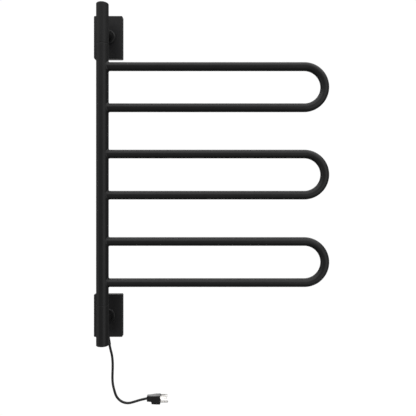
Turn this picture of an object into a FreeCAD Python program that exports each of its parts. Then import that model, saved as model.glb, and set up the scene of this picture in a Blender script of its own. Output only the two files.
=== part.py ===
import FreeCAD, Part
import math
import os

# A wall-hung electric towel warmer whose bars swing like a gate. Millimetres, +Z up.
# The wall is the plane Y = 0 and +Y points into it. The origin is the middle of the lower
# bracket's wall screw pattern. The post stands off the wall on two brackets: its two end lengths
# are fixed, and its middle length turns between them on spindles. At rest the three U-shaped
# bars reach out along +X. Everything inside the tubes and brackets is there too: bearings,
# stop pin, leads, heating cables, terminal block and thermal cut-out.

V = FreeCAD.Vector
X_AXIS = V(1, 0, 0)
Y_AXIS = V(0, 1, 0)
Z_AXIS = V(0, 0, 1)

# ---- Post ----
post_height = 787.4
post_d = 28.6
post_wall = 2.0
end_section = 93.7        # from the post's end to the middle of the seam
axis_out = 72.0           # from the wall to the post's axis
cap_plate = 2.0
cap_bevel = 1.0
cap_spigot = 8.0
cap_spigot_wall = 2.0

# ---- Bars ----
bar_count = 3
bar_d = 20.0
bar_wall = 1.5
bar_reach = 522.2         # from the post's axis to the outside of the bends
leg_spacing = 94.7        # between the two legs of one bar, and twice the bend's radius
end_bar_margin = 51.25    # from a seam to the nearest leg
bar_wire_hole_d = 13.0    # through the post into each leg
weld_leg = 1.6            # a weld bead's leg on each of its two tubes
weld_slope = 1.35         # how much of each leg its sloping face takes

# ---- Brackets ----
arm_from_end = 54.7       # from the post's end to the arm, which is the middle of its bracket
arm_d = 19.0
arm_wall = 2.5
arm_flange_d = 30.0
arm_flange_t = 2.5
collar_d = 35.8
collar_t = 4.0
collar_bevel = 2.2
cover_w = 70.0
cover_h = 104.5
cover_d = 13.0
cover_wall = 1.8
cover_corner_r = 3.0
cover_edge_r = 1.6
plate_t = 2.5
plate_gap = 1.2           # all round, between the wall plate and the cover
wall_hole_d = 5.5
wall_holes_x = 46.0
wall_holes_z = 72.0
tab_w = 14.0
tab_depth = 6.2
tab_x = 21.0              # the cover screws stand this far each side of the middle
cover_screw_d = 4.0
cover_screw_l = 7.0
cover_screw_inset = 0.3
hex_key_d = 2.2
cord_notch_w = 14.0
cord_notch_h = 9.0
lead_window_room = 1.5    # round the leads, in the plate's window

# ---- Swivel ----
journal_d = 12.0
journal_l = 33.0
journal_chamfer = 0.8
spindle_past_arm = 1.0    # from the arm's edge to the spindle's inner end
spindle_bore_d = 7.0
bush_wall = 1.5
bush_l = 29.0
housing_l = 34.0
washer_t = 0.8
washer_edge = 0.8         # the washer is this much smaller in radius than the post
swing_deg = 180.0
stop_pin_d = 2.5
stop_slot_depth = 5.0
stop_hole_depth = 15.0
stop_end_room = 1.0       # left past each end of the pin
stop_pin_angle = 150.0    # where the pin stands at rest, from +X
grub_d = 5.0
grub_l = 4.0
grub_inset = 0.4
grub_spread_deg = 60.0

# ---- Clearances ----
running = 0.05            # radial, a journal in its bush
slip = 0.05               # radial, one fixed piece inside another
thrust = 0.1              # between the thrust washer and the fixed length
butt = 0.02               # between two pieces that are welded or stand face to face
screw_slack = 0.05        # radial, a screw in its threaded hole
cover_hole_slack = 0.3    # radial, a screw or an arm through a cover
stop_slack = 0.15         # round the stop pin, at the slot's sides and ends
cord_grip = 0.1           # radial, the cord in its strain relief and in the plug

# ---- Wiring ----
lead_d = 4.4
lead_bend = 6.0
lead_joint_gap = 1.0      # from the spindle to the leads' end, and from there to the post's wiring
harness_d = 5.0
cable_d = 5.0
crimp_d = 5.6
crimp_l = 6.0
crimp_gap = 0.4           # from the wiring to the crimps
cutout_size = (5.0, 8.0, 18.0)
cutout_gap = 0.5          # from the wiring to the thermal cut-out
terminal_size = (26.0, 6.2, 13.0)
terminal_edge_r = 0.6
terminal_gap = 0.1        # from the wall plate to the terminal block
terminal_below_flange = 6.0
terminal_hole_depth = 3.0
terminal_screw_d = 3.4
terminal_screw_l = 2.4
terminal_screw_inset = 0.4
terminal_slot_w = 0.6
terminal_slot_depth = 0.6
conductor_d = 2.0
earth_head_d = 7.0
earth_head_h = 2.0
earth_head_r = 0.7

# ---- Cord and plug ----
cord_d = 5.8
cord_x = -2.6             # where the cord leaves the lower cover
# The cord's route from there, hung from the cover's lower face, first point inside the cover.
cord_route = [
    (-1.1, 0.1, 4.25), (3.0, -0.2, -12.3), (6.1, -0.6, -29.0), (10.7, -1.0, -45.4),
    (12.5, -1.4, -62.3), (12.6, -1.8, -79.3), (11.9, -2.2, -96.4), (12.4, -2.6, -113.5),
    (16.1, -3.0, -129.9), (21.7, -3.4, -147.0), (33.8, -3.8, -158.9), (50.3, -4.2, -163.0),
    (67.3, -4.6, -158.2), (83.3, -5.0, -152.9), (100.0, -5.4, -149.5),
]
relief_l = 20.0
relief_root_d = 8.8
relief_tip_d = 7.5
relief_room = 1.1         # from the relief's neck to the cover's front wall, and to the wall
relief_flange_t = 1.4
relief_flange_lip = 0.8   # how far the outer flange stands out past the neck
relief_inner_lip = 0.45   # the same for the inner flange
cord_in_plug = 3.0
plug_l = 32.9
plug_w = 19.0
plug_top = 8.9            # above the cord's middle
plug_bottom = 11.5        # below it
plug_tail_w = 11.0
plug_tail_top = 7.7
plug_tail_bottom = 6.3
plug_step = 11.0          # from the tail's end to the step under the body
plug_edge_r = 1.2
plug_shoulder_w = 14.6    # across the body, just past the step
blade_h = 6.35
blade_t = 1.52
blade_l = 16.0
blade_spacing = 12.7
blade_up = 4.4            # the blades' middle above the cord's middle
blade_hole_d = 3.1
blade_hole_from_tip = 4.2
blade_chamfer = 0.5
earth_pin_d = 4.75
earth_pin_l = 18.5
earth_pin_below = 11.9    # below the blades' middle
prong_root = 5.0          # how deep the prongs are moulded in

# ---- Places that follow ----
post_r = post_d / 2
post_inner_r = post_r - post_wall
foot_z = -arm_from_end
head_z = foot_z + post_height
mid_z = (foot_z + head_z) / 2
bracket_spacing = post_height - 2 * arm_from_end
seam_gap = washer_t + 2 * thrust
low_seam_z = foot_z + end_section
high_seam_z = head_z - end_section
bar_r = bar_d / 2
bend_r = leg_spacing / 2
bend_x = bar_reach - bar_r - bend_r
low_bar_z = low_seam_z + end_bar_margin + bend_r
high_bar_z = high_seam_z - end_bar_margin - bend_r
bar_pitch = (high_bar_z - low_bar_z) / (bar_count - 1)
bar_z = [low_bar_z + i * bar_pitch for i in range(bar_count)]
leg_z = [z + side * bend_r for z in bar_z for side in (-1, 1)]
cover_front_y = -cover_d
cover_inner_y = -cover_d + cover_wall
plate_w = cover_w - 2 * (cover_wall + plate_gap)
plate_h = cover_h - 2 * (cover_wall + plate_gap)
arm_r = arm_d / 2
arm_bore_r = arm_r - arm_wall
fixed_top_z = low_seam_z - seam_gap / 2
turning_foot_z = low_seam_z + seam_gap / 2
turning_head_z = high_seam_z - seam_gap / 2
washer_foot_z = fixed_top_z + thrust
journal_r = journal_d / 2
bush_inner_r = journal_r + running
bush_outer_r = bush_inner_r + bush_wall
housing_r = post_inner_r - slip
stop_circle_r = (bush_outer_r + housing_r) / 2
spindle_body_l = fixed_top_z - arm_r - spindle_past_arm
grub_z = fixed_top_z - spindle_body_l / 2
flange_front_y = cover_inner_y + butt
crimp_x0 = harness_d / 2 + crimp_gap
crimp_x1 = crimp_x0 + crimp_l
leads_top_z = fixed_top_z + journal_l + lead_joint_gap
terminal_y = -plate_t - terminal_gap
terminal_front_y = terminal_y - terminal_size[1]
terminal_top = -arm_flange_d / 2 - terminal_below_flange
lead_y = (flange_front_y + arm_flange_t) / 2
relief_neck_d = -cover_inner_y - 2 * relief_room
cord_from_wall = -cover_inner_y / 2
cord_exit = V(cord_x, -cord_from_wall, -cover_h / 2)
cord_points = [cord_exit + V(*p) for p in cord_route]


# ---- Small builders ----
def rod(r, start, length, axis=Z_AXIS):
    """A solid cylinder from start along axis."""
    return Part.makeCylinder(r, length, start, axis)


def ring(outer_r, inner_r, start, length, axis=Z_AXIS):
    """A straight tube or a flat washer."""
    return rod(outer_r, start, length, axis).cut(rod(inner_r, start, length, axis))


def block(x0, x1, y0, y1, z0, z1):
    """A box between two corners."""
    return Part.makeBox(x1 - x0, y1 - y0, z1 - z0, V(x0, y0, z0))


def on_post(z=0.0):
    """A point on the post's axis."""
    return V(0, -axis_out, z)


def edges_along(shape, axis):
    """The straight edges of a shape that run along an axis."""
    found = []
    for edge in shape.Edges:
        if edge.Curve.TypeId == "Part::GeomLine":
            if abs(abs(edge.tangentAt(edge.FirstParameter).dot(axis)) - 1) < 1e-6:
                found.append(edge)
    return found


def edges_on(shape, axis, at):
    """The edges of a shape that lie whole in the plane where the axis coordinate is at."""
    found = []
    for edge in shape.Edges:
        if all(abs(v.Point.dot(axis) - at) < 1e-4 for v in edge.Vertexes):
            if abs(edge.CenterOfMass.dot(axis) - at) < 1e-4:
                found.append(edge)
    return found


def route_radii(points):
    """Each corner's arc radius: 0.45 of the shorter run over the tangent of half the turn."""
    radii = []
    for before, here, after in zip(points, points[1:], points[2:]):
        turn = (here - before).getAngle(after - here)
        shorter = min((here - before).Length, (after - here).Length)
        radii.append(0.45 * shorter / math.tan(turn / 2))
    return radii


def route_wire(points, radii):
    """Straight runs joined by tangent arcs of the given radii."""
    edges = []
    at = points[0]
    for before, here, after, r in zip(points, points[1:], points[2:], radii):
        into = (here - before).normalize()
        out = (after - here).normalize()
        turn = into.getAngle(out)
        reach = r * math.tan(turn / 2)
        first = here - into * reach
        last = here + out * reach
        inward = (out - into).normalize()
        middle = here + inward * (r / math.cos(turn / 2) - r)
        edges.append(Part.LineSegment(at, first).toShape())
        edges.append(Part.Arc(first, middle, last).toShape())
        at = last
    edges.append(Part.LineSegment(at, points[-1]).toShape())
    return Part.Wire(edges)


def route_tube(points, radii, r):
    """A round solid that follows a route."""
    start = Part.makeCircle(r, points[0], points[1] - points[0])
    return route_wire(points, radii).makePipeShell([Part.Wire([start])], True, False)


def bar_shape(z, r):
    """A U of radius r whose legs start on the post's axis."""
    low = V(0, -axis_out, z - bend_r)
    high = V(0, -axis_out, z + bend_r)
    low_end = low + X_AXIS * bend_x
    high_end = high + X_AXIS * bend_x
    tip = V(bend_x + bend_r, -axis_out, z)
    path = Part.Wire([
        Part.LineSegment(low, low_end).toShape(),
        Part.Arc(low_end, tip, high_end).toShape(),
        Part.LineSegment(high_end, high).toShape(),
    ])
    start = Part.makeCircle(r, low, X_AXIS)
    return path.makePipeShell([Part.Wire([start])], True, False)


def flipped(shape):
    """The same piece for the other bracket or the post's other end."""
    return shape.mirror(V(0, 0, mid_z), Z_AXIS)


def weld_bead(tube_r, start, axis):
    """A three-cornered bead where a tube stands square on the post, start being on the post's axis."""
    below = start - Z_AXIS * post_d
    grown_post = rod(post_r + weld_leg, below, 2 * post_d)
    bead = grown_post.common(rod(tube_r + weld_leg, start, post_d, axis))
    bead = bead.cut(rod(post_r + butt, below, 2 * post_d)).cut(rod(tube_r + butt, start, post_d, axis))
    outer = [e for e in bead.Edges if is_saddle(e, start, axis, tube_r + weld_leg)]
    return bead.makeChamfer(weld_slope, outer)


def is_saddle(edge, start, axis, r):
    """True for an edge that runs where the grown post and a grown tube of radius r meet."""
    for at in edge.discretize(5):
        from_tube = (at - start).cross(axis).Length
        from_post = (at - start).cross(Z_AXIS).Length
        if abs(from_tube - r) > 1e-3 or abs(from_post - post_r - weld_leg) > 1e-3:
            return False
    return True


# ---- Brackets ----
def wall_plate(wired):
    """The steel plate against the wall, with two tabs that the cover screws thread into.

    The wired one also has a notch for the cord and a window behind the leads.
    """
    plate = block(-plate_w / 2, plate_w / 2, -plate_t, 0, -plate_h / 2, plate_h / 2)
    tab_bottom = -plate_h / 2
    tab_front = -plate_t - tab_depth
    for side in (-1, 1):
        x = side * tab_x
        tab = block(x - tab_w / 2, x + tab_w / 2, tab_front, -plate_t, tab_bottom, tab_bottom + plate_t)
        plate = plate.fuse(tab)
    for side in (-1, 1):
        start = V(side * tab_x, -plate_t - tab_depth / 2, tab_bottom - 1)
        plate = plate.cut(rod(cover_screw_d / 2 + screw_slack, start, plate_t + 2))
    for x in (-wall_holes_x / 2, wall_holes_x / 2):
        for z in (-wall_holes_z / 2, wall_holes_z / 2):
            plate = plate.cut(rod(wall_hole_d / 2, V(x, -plate_t - 1, z), plate_t + 2, Y_AXIS))
    if wired:
        half = cord_notch_w / 2
        top = -plate_h / 2 + cord_notch_h
        plate = plate.cut(block(cord_x - half, cord_x + half, -plate_t - 1, 1, -plate_h, top))
        half = lead_d / 2 + lead_window_room
        plate = plate.cut(block(-half, half, -plate_t - 1, 1, terminal_top, half))
    return plate.removeSplitter()


def bracket_cover(cord_hole):
    """The box shell over a wall plate, open at the wall."""
    shell = block(-cover_w / 2, cover_w / 2, cover_front_y, 0, -cover_h / 2, cover_h / 2)
    shell = shell.makeFillet(cover_corner_r, edges_along(shell, Y_AXIS))
    shell = shell.makeFillet(cover_edge_r, edges_on(shell, Y_AXIS, cover_front_y))
    half_w = cover_w / 2 - cover_wall
    half_h = cover_h / 2 - cover_wall
    inside = block(-half_w, half_w, cover_inner_y, 1, -half_h, half_h)
    shell = shell.cut(inside.makeFillet(cover_corner_r - cover_wall, edges_along(inside, Y_AXIS)))
    arm_hole = arm_r + cover_hole_slack
    shell = shell.cut(rod(arm_hole, V(0, cover_front_y - 1, 0), cover_wall + 2, Y_AXIS))
    for side in (-1, 1):
        start = V(side * tab_x, -plate_t - tab_depth / 2, -cover_h / 2 - 1)
        shell = shell.cut(rod(cover_screw_d / 2 + cover_hole_slack, start, cover_wall + 2))
    if cord_hole:
        start = V(cord_x, -cord_from_wall, -cover_h / 2 - 1)
        shell = shell.cut(rod(relief_neck_d / 2 + slip, start, cover_wall + 2))
    return shell


def cover_screws():
    """The two set screws that lock a cover to its wall plate."""
    screws = []
    for side in (-1, 1):
        foot = V(side * tab_x, -plate_t - tab_depth / 2, -cover_h / 2 + cover_screw_inset)
        screw = rod(cover_screw_d / 2, foot, cover_screw_l)
        screws.append(screw.cut(hex_socket(foot, hex_key_d, Z_AXIS)))
    return Part.makeCompound(screws)


def hex_socket(start, across, axis):
    """A six-sided key hole, half as deep again as it is wide."""
    aside = axis.cross(V(0.3, 0.5, 0.81)).normalize()
    points = []
    for i in range(7):
        spoke = FreeCAD.Rotation(axis, i * 60).multVec(aside)
        points.append(start + spoke * (across / 2 / math.cos(math.pi / 6)))
    return Part.Face(Part.makePolygon(points)).extrude(axis * across * 1.5)


def arm():
    """The stand-off tube from a bracket to the post, with its flange behind the cover's front."""
    tube = rod(arm_r, on_post(), axis_out + flange_front_y, Y_AXIS)
    flange = rod(arm_flange_d / 2, V(0, flange_front_y, 0), arm_flange_t, Y_AXIS)
    bore = rod(arm_bore_r, on_post(), axis_out, Y_AXIS)
    post_zone = rod(post_r + butt, on_post(-cover_h), 2 * cover_h)
    return tube.fuse(flange).cut(bore).cut(post_zone).removeSplitter()


def collar():
    """The raised ring that clamps the arm against the cover."""
    back = cover_front_y - butt
    disc = rod(collar_d / 2, V(0, back - collar_t, 0), collar_t, Y_AXIS)
    rim = [e for e in edges_on(disc, Y_AXIS, back - collar_t) if e.Length > 1]
    disc = disc.makeChamfer(collar_bevel, rim)
    return disc.cut(rod(arm_r + slip, V(0, back - collar_t - 1, 0), collar_t + 2, Y_AXIS))


# ---- Post ----
def post_section(wired):
    """A fixed end length of the post, with its spindle's screw holes and the arm's lead hole."""
    foot = foot_z + cap_plate + butt
    tube = ring(post_r, post_inner_r, on_post(foot), fixed_top_z - foot)
    for angle in (-grub_spread_deg / 2, grub_spread_deg / 2):
        tube = tube.cut(rod(grub_d / 2 + screw_slack, on_post(grub_z), axis_out, back_of_post(angle)))
    if wired:
        tube = tube.cut(rod(arm_bore_r, on_post(), axis_out, Y_AXIS))
    return tube


def back_of_post(angle):
    """The direction square to the post, angle degrees round from straight at the wall."""
    return FreeCAD.Rotation(Z_AXIS, angle).multVec(Y_AXIS)


def end_cap():
    """The flat cap in the post's end."""
    cap = rod(post_r, on_post(foot_z), cap_plate)
    cap = cap.makeChamfer(cap_bevel, edges_on(cap, Z_AXIS, foot_z))
    outer = post_inner_r - slip
    spigot = ring(outer, post_inner_r - cap_spigot_wall, on_post(foot_z + cap_plate), cap_spigot)
    return cap.fuse(spigot).removeSplitter()


def stop_slot():
    """The groove that the stop pin runs in, the swing plus the pin's own width."""
    clear = stop_pin_d / 2 + stop_slack
    depth = stop_slot_depth
    floor = fixed_top_z - depth
    sweep = ring(stop_circle_r + clear, stop_circle_r - clear, on_post(floor), depth)
    begin = stop_pin_angle - swing_deg
    half = Part.makeCylinder(post_d, depth, on_post(floor), Z_AXIS, swing_deg)
    half.rotate(on_post(), Z_AXIS, begin)
    slot = sweep.common(half)
    for angle in (begin, stop_pin_angle):
        slot = slot.fuse(rod(clear, round_post(angle, floor), depth))
    return slot


def round_post(angle, z):
    """A point on the stop pin's circle."""
    turn = math.radians(angle)
    return on_post(z) + V(stop_circle_r * math.cos(turn), stop_circle_r * math.sin(turn), 0)


def spindle(wired):
    """The turned journal that is fixed in an end length and carries the turning length."""
    body = rod(post_inner_r - slip, on_post(fixed_top_z - spindle_body_l), spindle_body_l)
    journal = rod(journal_r, on_post(fixed_top_z), journal_l)
    journal = journal.makeChamfer(journal_chamfer, edges_on(journal, Z_AXIS, fixed_top_z + journal_l))
    piece = body.fuse(journal)
    for angle in (-grub_spread_deg / 2, grub_spread_deg / 2):
        start = on_post(grub_z) + back_of_post(angle) * (post_r - grub_l)
        piece = piece.cut(rod(grub_d / 2 + screw_slack, start, grub_l, back_of_post(angle)))
    if wired:
        bore = rod(spindle_bore_d / 2, on_post(fixed_top_z - spindle_body_l), spindle_body_l + journal_l)
        piece = piece.cut(bore).cut(stop_slot())
    return piece.removeSplitter()


def spindle_screws():
    """The two set screws, flush with the back of the post, that hold a spindle."""
    screws = []
    for angle in (-grub_spread_deg / 2, grub_spread_deg / 2):
        out = back_of_post(angle)
        start = on_post(grub_z) + out * (post_r - grub_l)
        screw = rod(grub_d / 2, start, grub_l - grub_inset, out)
        head = start + out * (grub_l - grub_inset)
        screws.append(screw.cut(hex_socket(head, hex_key_d, out * -1)))
    return Part.makeCompound(screws)


def bearing_housing(pinned):
    """The turned plug in an end of the turning length, bored for its bush."""
    foot = turning_foot_z
    body = ring(housing_r, bush_outer_r + slip, on_post(foot), housing_l)
    if pinned:
        start = round_post(stop_pin_angle, foot - 1)
        body = body.cut(rod(stop_pin_d / 2 + screw_slack, start, stop_hole_depth + 1))
    return body


def bush():
    """The plastic sleeve that turns on the journal."""
    return ring(bush_outer_r, bush_inner_r, on_post(turning_foot_z), bush_l)


def thrust_washer(pinned):
    """The slip washer in the seam, which turns with the bars."""
    inner = journal_r + 3 * running
    washer = ring(post_r - washer_edge, inner, on_post(washer_foot_z), washer_t)
    if pinned:
        start = round_post(stop_pin_angle, washer_foot_z)
        washer = washer.cut(rod(stop_pin_d / 2 + screw_slack, start, washer_t))
    return washer


def stop_pin():
    """The pin that is pressed into the lower housing and stands down into the spindle's slot."""
    start = round_post(stop_pin_angle, fixed_top_z - stop_slot_depth + stop_end_room)
    top = turning_foot_z + stop_hole_depth - stop_end_room
    return rod(stop_pin_d / 2, start, top - start.z)


def swivel_post():
    """The turning middle length of the post, with a hole into each leg of each bar."""
    tube = ring(post_r, post_inner_r, on_post(turning_foot_z), turning_head_z - turning_foot_z)
    for z in leg_z:
        tube = tube.cut(rod(bar_wire_hole_d / 2, on_post(z), post_d, X_AXIS))
    return tube


# ---- Bars ----
def bar(z):
    """One U-bent tube, its ends shaped to sit on the post."""
    post_zone = rod(post_r + butt, on_post(z - leg_spacing), 2 * leg_spacing)
    return bar_shape(z, bar_r).cut(bar_shape(z, bar_r - bar_wall)).cut(post_zone)


def bar_welds():
    """The beads round the six legs."""
    return Part.makeCompound([weld_bead(bar_r, on_post(z), X_AXIS) for z in leg_z])


def arm_welds():
    """The beads round the two arms."""
    return Part.makeCompound([weld_bead(arm_r, on_post(z), Y_AXIS) for z in (0, bracket_spacing)])


def heating_cable(z):
    """The heating cable through one bar, cut off just inside the post."""
    inside = rod(post_r, on_post(z - leg_spacing), 2 * leg_spacing)
    y0 = -axis_out - post_d
    near_crimps = block(-1, crimp_x1 + butt, y0, y0 + 2 * post_d, z - leg_spacing, z + leg_spacing)
    return bar_shape(z, cable_d / 2).cut(inside.common(near_crimps))


# ---- Wiring ----
def crimp_connectors():
    """The crimps that join each cable end to the post's wiring."""
    starts = [on_post(z) + X_AXIS * crimp_x0 for z in leg_z]
    return Part.makeCompound([rod(crimp_d / 2, start, crimp_l, X_AXIS) for start in starts])


def post_wiring():
    """The insulated bundle up the turning length, from the spindle's bore past the top leg."""
    foot = leads_top_z + lead_joint_gap
    return rod(harness_d / 2, on_post(foot), leg_z[-1] + 2 * crimp_d - foot)


def thermal_cutout():
    """The cut-out that stops the bars overheating, beside the wiring between two bars."""
    size_x, size_y, size_z = cutout_size
    x0 = harness_d / 2 + cutout_gap
    z0 = (leg_z[1] + leg_z[2] - size_z) / 2
    return block(x0, x0 + size_x, -axis_out - size_y / 2, -axis_out + size_y / 2, z0, z0 + size_z)


def terminal_block():
    """The three-way terminal block on the lower wall plate."""
    size_x, size_y, size_z = terminal_size
    half = size_x / 2
    body = block(-half, half, terminal_front_y, terminal_y, terminal_top - size_z, terminal_top)
    body = body.makeFillet(terminal_edge_r, edges_on(body, Y_AXIS, terminal_front_y))
    for x in terminal_ways():
        start = V(x, terminal_front_y, terminal_top - size_z / 2)
        body = body.cut(rod(terminal_screw_d / 2 + screw_slack, start, terminal_hole_depth, Y_AXIS))
    return body


def terminal_ways():
    """Where the three ways stand across the block."""
    return [i * terminal_size[0] / 3 for i in (-1, 0, 1)]


def terminal_screws():
    """The three slotted screws in the block's face."""
    screws = []
    for x in terminal_ways():
        start = V(x, terminal_front_y + terminal_screw_inset, terminal_top - terminal_size[2] / 2)
        screw = rod(terminal_screw_d / 2, start, terminal_screw_l, Y_AXIS)
        slot = Part.makeBox(terminal_screw_d, terminal_slot_depth, terminal_slot_w)
        slot.translate(start - V(terminal_screw_d / 2, 0, terminal_slot_w / 2))
        screws.append(screw.cut(slot))
    return Part.makeCompound(screws)


def cord_conductors():
    """The cord's three cores, fanned out from its end to the terminal block."""
    cores = []
    foot = cord_points[0] + V(0, 0, 0.75 * conductor_d)
    for i, x in enumerate(terminal_ways()):
        start = foot + V((i - 1) * 0.85 * conductor_d, 0, 0)
        end = V(x, terminal_y - terminal_size[1] / 2, terminal_top - terminal_size[2] - butt)
        along = end - start
        cores.append(rod(conductor_d / 2, start, along.Length - conductor_d / 2, along))
    return Part.makeCompound(cores)


def earth_screw():
    """The screw that earths the wall plate, standing on the plate beside the terminal block."""
    x = plate_w / 2 - earth_head_d
    at = V(x, -plate_t - butt, -arm_flange_d / 2)
    head = rod(earth_head_d / 2, at - Y_AXIS * earth_head_h, earth_head_h, Y_AXIS)
    return head.makeFillet(earth_head_r, edges_on(head, Y_AXIS, at.y - earth_head_h))


def supply_leads():
    """The leads from the terminal block through the arm and up the lower spindle's bore."""
    points = [
        V(0, lead_y, terminal_top + butt),
        V(0, lead_y, 0),
        on_post(),
        on_post(leads_top_z),
    ]
    return route_tube(points, [lead_bend, lead_bend], lead_d / 2)


# ---- Cord and plug ----
def cord():
    """The mains cord, and a check of its volume against its section times its length."""
    radii = route_radii(cord_points)
    tube = route_tube(cord_points, radii, cord_d / 2)
    length = route_wire(cord_points, radii).Length
    share = tube.Volume / (math.pi * (cord_d / 2) ** 2 * length)
    print("cord radii", [round(r, 1) for r in radii])
    print("cord length", round(length, 1), "volume share", round(share, 4))
    return tube


def cord_strain_relief():
    """The rubber bush in the cover's lower face, with a tapered sleeve along the cord below it."""
    floor = -cover_h / 2
    at = V(cord_x, -cord_from_wall, floor)
    out = (cord_points[1] - cord_points[0]).normalize()
    room = route_tube(cord_points, route_radii(cord_points), cord_d / 2 + cord_grip)
    neck_r = relief_neck_d / 2
    flange = rod(neck_r + relief_flange_lip, at - Z_AXIS * relief_flange_t, relief_flange_t - butt)
    neck = rod(neck_r, at - Z_AXIS * butt, cover_wall + 2 * butt)
    inside = at + Z_AXIS * (cover_wall + butt)
    inner = rod(neck_r + relief_inner_lip, inside, relief_flange_t)
    sleeve = Part.makeCone(relief_root_d / 2, relief_tip_d / 2, relief_l, at, out)
    sleeve = sleeve.cut(rod(relief_root_d, at - Z_AXIS * butt, relief_l))
    piece = flange.fuse([neck, inner, sleeve])
    return piece.cut(room).removeSplitter()


def plug_frame():
    """The point where the cord enters the plug's tail."""
    end = cord_points[-1]
    into = (end - cord_points[-2]).normalize()
    return end - into * cord_in_plug


def plug_section(x, width, top, bottom, corner):
    """One cross-section of the plug: a rectangle with rounded corners, square to the prongs."""
    at = plug_frame()
    half = width / 2
    corners = [V(x, -half, -bottom), V(x, half, -bottom), V(x, half, top), V(x, -half, top)]
    loop = Part.makePolygon([at + c for c in corners + corners[:1]])
    return rounded(loop, corner)


def rounded(loop, corner):
    """A four-sided loop with its corners rounded."""
    points = [v.Point for v in loop.OrderedVertexes][:4]
    edges = []
    for i in range(4):
        before, here, after = points[i - 1], points[i], points[(i + 1) % 4]
        into = (here - before).normalize()
        out = (after - here).normalize()
        first = here - into * corner
        last = here + out * corner
        middle = here + (out - into).normalize() * corner * (math.sqrt(2) - 1)
        following = points[(i + 1) % 4] - out * corner
        edges.append(Part.Arc(first, middle, last).toShape())
        edges.append(Part.LineSegment(last, following).toShape())
    return Part.Wire(edges)


def plug_body():
    """The moulded plug: a tail round the cord that widens and steps down to the prong face."""
    r = plug_edge_r
    tail = Part.makeLoft([
        plug_section(0, plug_tail_w, plug_tail_top - r, plug_tail_bottom - 2 * r, r),
        plug_section(1.8 * r, plug_tail_w + 2 * r, plug_tail_top, plug_tail_bottom, r),
        plug_section(plug_l - r, plug_w, plug_top, plug_tail_bottom, r),
    ], True, True)
    head = Part.makeLoft([
        plug_section(plug_step - r, plug_shoulder_w - r, plug_tail_top - 2 * r, plug_tail_bottom - r, r),
        plug_section(plug_step + 1.5 * r, plug_shoulder_w, plug_tail_top - r, plug_bottom, r),
        plug_section(plug_l - r, plug_w, plug_top, plug_bottom, r),
    ], True, True)
    face = Part.makeLoft([
        plug_section(plug_l - r, plug_w, plug_top, plug_bottom, r),
        plug_section(plug_l, plug_w - 1.6 * r, plug_top - 0.8 * r, plug_bottom - 0.8 * r, r),
    ], True, True)
    body = tail.fuse([head, face])
    into = (cord_points[-1] - cord_points[-2]).normalize()
    mouth = plug_frame() - into * cord_in_plug
    socket = rod(cord_d / 2 + cord_grip, mouth, 2 * cord_in_plug + butt, into)
    body = body.cut(socket)
    for prong in blade_slots() + [earth_pin(butt)]:
        body = body.cut(prong)
    return body.removeSplitter()


def blade_box(side, grow):
    """One blade, or the room it takes in the moulding."""
    face = plug_frame() + V(plug_l, side * blade_spacing / 2, blade_up)
    half_t = blade_t / 2 + grow
    half_h = blade_h / 2 + grow
    x0 = face.x - prong_root - grow
    x1 = face.x + blade_l
    return block(x0, x1, face.y - half_t, face.y + half_t, face.z - half_h, face.z + half_h)


def blade_slots():
    """The room that the two blades take in the moulding."""
    return [blade_box(side, butt) for side in (-1, 1)]


def plug_blades():
    """The two flat blades, each with its round hole and eased tip."""
    blades = []
    for side in (-1, 1):
        blade = blade_box(side, 0)
        tip_x = blade.BoundBox.XMax
        tips = [e for e in edges_on(blade, X_AXIS, tip_x) if e.Length > 2]
        blade = blade.makeChamfer(blade_chamfer, tips)
        centre = V(tip_x - blade_hole_from_tip, blade.BoundBox.YMin - 1, blade.BoundBox.Center.z)
        blades.append(blade.cut(rod(blade_hole_d / 2, centre, blade_t + 2, Y_AXIS)))
    return Part.makeCompound(blades)


def earth_pin(grow):
    """The round earth pin, or the room it takes in the moulding."""
    face = plug_frame() + V(plug_l, 0, blade_up - earth_pin_below)
    start = face - X_AXIS * (prong_root + grow)
    tip_centre = earth_pin_l - earth_pin_d / 2
    straight = rod(earth_pin_d / 2 + grow, start, tip_centre + prong_root + grow, X_AXIS)
    tip = Part.makeSphere(earth_pin_d / 2 + grow, face + X_AXIS * tip_centre)
    return straight.fuse(tip).removeSplitter()


# ---- All the pieces ----
BAR_NAMES = ["lower_bar", "middle_bar", "upper_bar"]
CABLE_NAMES = ["lower_heating_cable", "middle_heating_cable", "upper_heating_cable"]

pieces = {
    "lower_wall_plate": wall_plate(True),
    "upper_wall_plate": flipped(wall_plate(False)),
    "lower_bracket_cover": bracket_cover(True),
    "upper_bracket_cover": flipped(bracket_cover(False)),
    "lower_cover_screws": cover_screws(),
    "upper_cover_screws": flipped(cover_screws()),
    "lower_arm": arm(),
    "upper_arm": flipped(arm()),
    "lower_collar": collar(),
    "upper_collar": flipped(collar()),
    "arm_welds": arm_welds(),
    "lower_post_section": post_section(True),
    "upper_post_section": flipped(post_section(False)),
    "lower_end_cap": end_cap(),
    "upper_end_cap": flipped(end_cap()),
    "lower_spindle": spindle(True),
    "upper_spindle": flipped(spindle(False)),
    "lower_spindle_screws": spindle_screws(),
    "upper_spindle_screws": flipped(spindle_screws()),
    "swivel_post": swivel_post(),
    "bar_welds": bar_welds(),
    "lower_bearing_housing": bearing_housing(True),
    "upper_bearing_housing": flipped(bearing_housing(False)),
    "lower_bush": bush(),
    "upper_bush": flipped(bush()),
    "lower_thrust_washer": thrust_washer(True),
    "upper_thrust_washer": flipped(thrust_washer(False)),
    "stop_pin": stop_pin(),
    "crimp_connectors": crimp_connectors(),
    "post_wiring": post_wiring(),
    "thermal_cutout": thermal_cutout(),
    "terminal_block": terminal_block(),
    "terminal_screws": terminal_screws(),
    "cord_conductors": cord_conductors(),
    "earth_screw": earth_screw(),
    "supply_leads": supply_leads(),
    "cord": cord(),
    "cord_strain_relief": cord_strain_relief(),
    "plug_body": plug_body(),
    "plug_blades": plug_blades(),
    "plug_earth_pin": earth_pin(0),
}
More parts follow.
